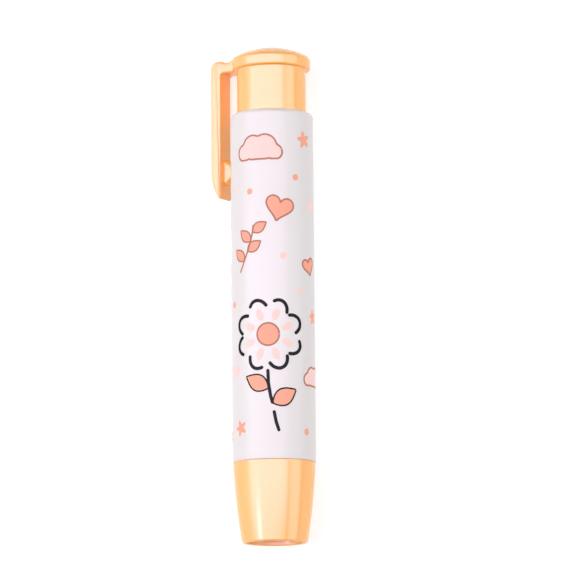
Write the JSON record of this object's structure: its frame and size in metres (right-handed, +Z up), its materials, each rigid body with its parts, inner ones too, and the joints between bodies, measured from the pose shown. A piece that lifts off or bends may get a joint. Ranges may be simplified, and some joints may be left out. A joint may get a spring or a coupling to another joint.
{
  "type": "push button eraser stick",
  "caption": "Pen-shaped eraser holder with a printed barrel, tapered nose and a push cap with pocket clip that steps a round eraser out through a slit collet clutch.",
  "frame": {"origin": "middle of the footprint, on the table that the stick lies on", "axes": "+Y along the stick from the mouth of the nose to the push cap, +Z up from the table, the clip on the -X side, turned down until its edge touches the table"},
  "size_m": [0.0234, 0.114, 0.019],
  "materials": {
    "printed_barrel": "glossy white moulding with a printed ink pattern",
    "peach_plastic": "glossy peach moulding",
    "eraser_vinyl": "matt white soft vinyl",
    "clutch_plastic": "natural acetal",
    "ring_brass": "turned",
    "spring_steel": "drawn wire",
    "brake_rubber": "moulded rubber"
  },
  "bodies": {
    "holder": {"barrel": "printed_barrel", "nose_cone": "peach_plastic", "stop_bush": "clutch_plastic", "brake_ring": "brake_rubber", "return_spring": "spring_steel"},
    "plunger": {"feed_tube": "clutch_plastic", "collet": "clutch_plastic"},
    "button": {"push_cap": "peach_plastic"},
    "ring": {"clutch_ring": "ring_brass"},
    "refill": {"eraser_stick": "eraser_vinyl"}
  },
  "joints": [
    {"name": "press", "type": "slide", "parent": "holder", "child": "plunger", "axis": [0, -1, 0], "range_m": [0, 0.006], "stiffness_N_per_m": 400, "springref_m": -0.004, "deforming": ["return_spring"]},
    {"name": "cap_turn", "type": "hinge", "parent": "plunger", "child": "button", "pos_m": [0.00222, 0.03, 0.0095], "axis": [0, 1, 0], "continuous": true},
    {"name": "ring_slide", "type": "slide", "parent": "holder", "child": "ring", "axis": [0, -1, 0], "range_m": [0, 0.0015]},
    {"name": "eraser_feed", "type": "slide", "parent": "holder", "child": "refill", "axis": [0, -1, 0], "range_m": [0, 0.036]}
  ],
  "couplings": [
    {"joint": "ring_slide", "follows": "press", "ratio": 0.25}
  ]
}
